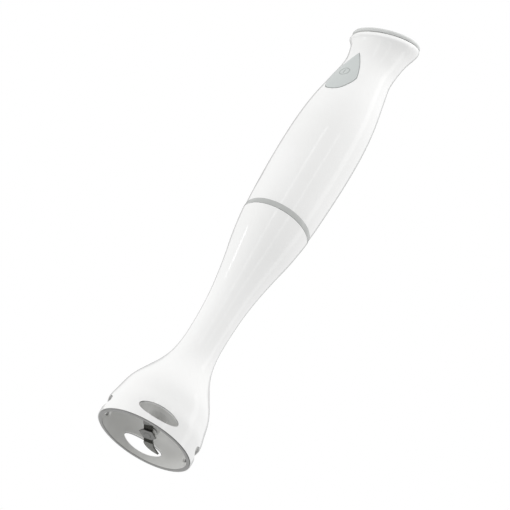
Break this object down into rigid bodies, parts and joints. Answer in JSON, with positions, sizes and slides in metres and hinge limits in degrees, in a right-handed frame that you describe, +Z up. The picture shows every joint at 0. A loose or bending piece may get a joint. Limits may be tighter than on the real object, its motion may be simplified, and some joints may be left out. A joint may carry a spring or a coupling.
{
  "type": "immersion blender",
  "caption": "Corded stick blender: a motor handle with a thumb button and leaning cap, and a twist-off leg that ends in a windowed bell guard round a two-wing blade.",
  "frame": {"origin": "centre of the bell's rim, on the plane it stands on", "axes": "+Z up the tool from bell to cap, -Y the side with the button, +X to the right seen from the button's side"},
  "size_m": [0.065, 0.065, 0.362],
  "materials": {
    "black_plastic": "moulded black plastic",
    "black_rubber": "moulded rubber",
    "blade_steel": "ground stainless steel",
    "board_green": "glass-fibre board",
    "brass_box": "pressed brass",
    "bronze": "sintered bronze",
    "button_grey": "soft satin grey plastic",
    "capacitor_yellow": "moulded box capacitor",
    "carbon": "carbon brush",
    "commutator_copper": "turned copper",
    "copper_wire": "enamelled copper wire",
    "ferrite": "ferrite ring",
    "frame_plastic": "moulded grey plastic",
    "grey_liner": "satin grey plastic",
    "grey_trim": "satin grey plastic",
    "lamination": "stacked electrical steel",
    "natural_nylon": "moulded nylon",
    "shaft_steel": "turned steel",
    "spring_steel": "drawn spring steel",
    "tube_aluminium": "drawn aluminium",
    "white_shell": "glossy white ABS",
    "zinc_screw": "zinc-plated steel"
  },
  "bodies": {
    "handle": {"handle_housing": "white_shell", "top_cap": "grey_trim", "cord_bush": "black_rubber", "trim_ring": "grey_trim", "coupling_socket": "frame_plastic", "socket_screws": "zinc_screw", "motor_bracket_lower": "black_plastic", "motor_bracket_upper": "black_plastic", "motor_bearing_lower": "shaft_steel", "motor_bearing_upper": "shaft_steel", "stator_core": "lamination", "field_coil_front": "copper_wire", "field_coil_rear": "copper_wire", "carbon_brush_left": "carbon", "carbon_brush_right": "carbon", "brush_holder_left": "brass_box", "brush_holder_right": "brass_box", "brush_spring_left": "spring_steel", "brush_spring_right": "spring_steel", "motor_bolts": "zinc_screw", "motor_damper": "black_rubber", "switch_body": "black_plastic", "switch_carrier": "frame_plastic", "cord_clamp": "frame_plastic", "clamp_screws": "zinc_screw", "circuit_board": "board_green", "capacitor": "capacitor_yellow", "choke": "ferrite", "button_spring": "spring_steel"},
    "rotor": {"rotor_shaft": "shaft_steel", "armature_core": "lamination", "armature_winding": "copper_wire", "commutator": "commutator_copper", "cooling_fan": "natural_nylon", "drive_dog": "natural_nylon"},
    "seat_washer": {"seat_washer": "spring_steel"},
    "leg": {"leg_shell": "white_shell", "bell_liner": "grey_liner", "lower_bush": "bronze", "shaft_seal": "black_rubber", "shaft_tube": "tube_aluminium", "upper_bush": "bronze", "leg_collar": "frame_plastic"},
    "blade_assembly": {"blade_shaft": "shaft_steel", "shaft_circlip": "spring_steel", "driven_dog": "natural_nylon", "blade": "blade_steel", "blade_washer": "blade_steel", "blade_spacer": "natural_nylon"},
    "button": {"button": "button_grey"},
    "switch_plunger": {"switch_plunger": "natural_nylon"}
  },
  "joints": [
    {"name": "leg_twist", "type": "hinge", "parent": "handle", "child": "seat_washer", "pos_m": [0, 0, 0.189], "axis": [0, 0, -1], "range_deg": [0, 60]},
    {"name": "leg_drop", "type": "slide", "parent": "seat_washer", "child": "leg", "axis": [0, 0, -1], "range_m": [0, 0.016]},
    {"name": "motor_spin", "type": "hinge", "parent": "handle", "child": "rotor", "pos_m": [0, 0, 0.23], "axis": [0, 0, 1], "continuous": true},
    {"name": "blade_spin", "type": "hinge", "parent": "leg", "child": "blade_assembly", "pos_m": [0, 0, 0.016], "axis": [0, 0, 1], "continuous": true},
    {"name": "button_press", "type": "slide", "parent": "handle", "child": "button", "axis": [0, 1, 0], "range_m": [0, 0.002], "stiffness_N_per_m": 1500, "springref_m": -0.0015, "deforming": ["button_spring"]},
    {"name": "plunger_press", "type": "slide", "parent": "handle", "child": "switch_plunger", "axis": [0, 1, 0], "range_m": [0, 0.002]}
  ],
  "couplings": [
    {"joint": "leg_drop", "follows": "leg_twist", "m_per_rad": 0.015277},
    {"joint": "blade_spin", "follows": "motor_spin", "ratio": 1},
    {"joint": "plunger_press", "follows": "button_press", "ratio": 1}
  ]
}
